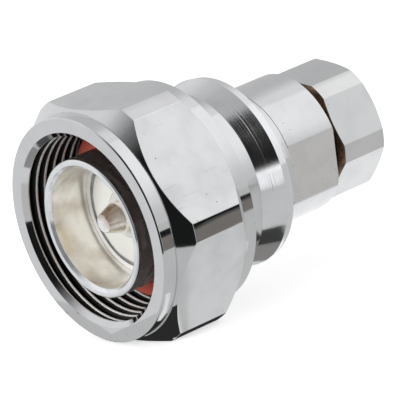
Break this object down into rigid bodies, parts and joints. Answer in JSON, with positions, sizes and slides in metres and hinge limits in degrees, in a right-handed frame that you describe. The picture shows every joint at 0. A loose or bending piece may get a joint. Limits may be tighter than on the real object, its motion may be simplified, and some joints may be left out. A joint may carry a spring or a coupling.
{
  "type": "coaxial plug connector",
  "caption": "Large screw-on coaxial plug: hexagonal coupling nut over a contact tube with a centre pin and gasket, turned body with wrench flats, and a hexagonal cable clamp nut behind.",
  "frame": {"origin": "centre of the coupling nut's front face, on the connector's axis", "axes": "+Y along the connector's axis from the mating face to the cable end, +Z square to one flat of the coupling nut, +X through one of its corners"},
  "size_m": [0.0378, 0.0485, 0.034],
  "materials": {
    "bright_plating": "bright satin white plating on brass",
    "silver_plating": "silver plating on brass, slightly warm",
    "pin_plating": "silver plating with a yellow tint",
    "white_insulator": "waxy off-white",
    "red_gasket": "matt red silicone",
    "black_rubber": "matt black",
    "plain_brass": "turned",
    "spring_steel": "drawn wire"
  },
  "bodies": {
    "shell": {"body": "bright_plating", "outer_contact": "silver_plating", "interface_gasket": "red_gasket", "centre_pin": "pin_plating", "front_insulator": "white_insulator", "rear_insulator": "white_insulator", "retaining_ring": "spring_steel", "braid_clamp": "plain_brass", "cable_gasket": "black_rubber"},
    "coupling": {"coupling_nut": "bright_plating"},
    "clamp_slide": {"thrust_washer": "plain_brass"},
    "clamp": {"clamp_nut": "bright_plating"}
  },
  "joints": [
    {"name": "coupling_spin", "type": "hinge", "parent": "shell", "child": "coupling", "pos_m": [0, 0.0085, 0], "axis": [0, 1, 0], "continuous": true},
    {"name": "clamp_advance", "type": "slide", "parent": "shell", "child": "clamp_slide", "axis": [0, 1, 0], "range_m": [0, 0.00401]},
    {"name": "clamp_turn", "type": "hinge", "parent": "clamp_slide", "child": "clamp", "pos_m": [0, 0.044, 0], "axis": [0, 1, 0], "range_deg": [0, 1440]}
  ],
  "couplings": [
    {"joint": "clamp_advance", "follows": "clamp_turn", "m_per_rad": 0.00015915}
  ]
}
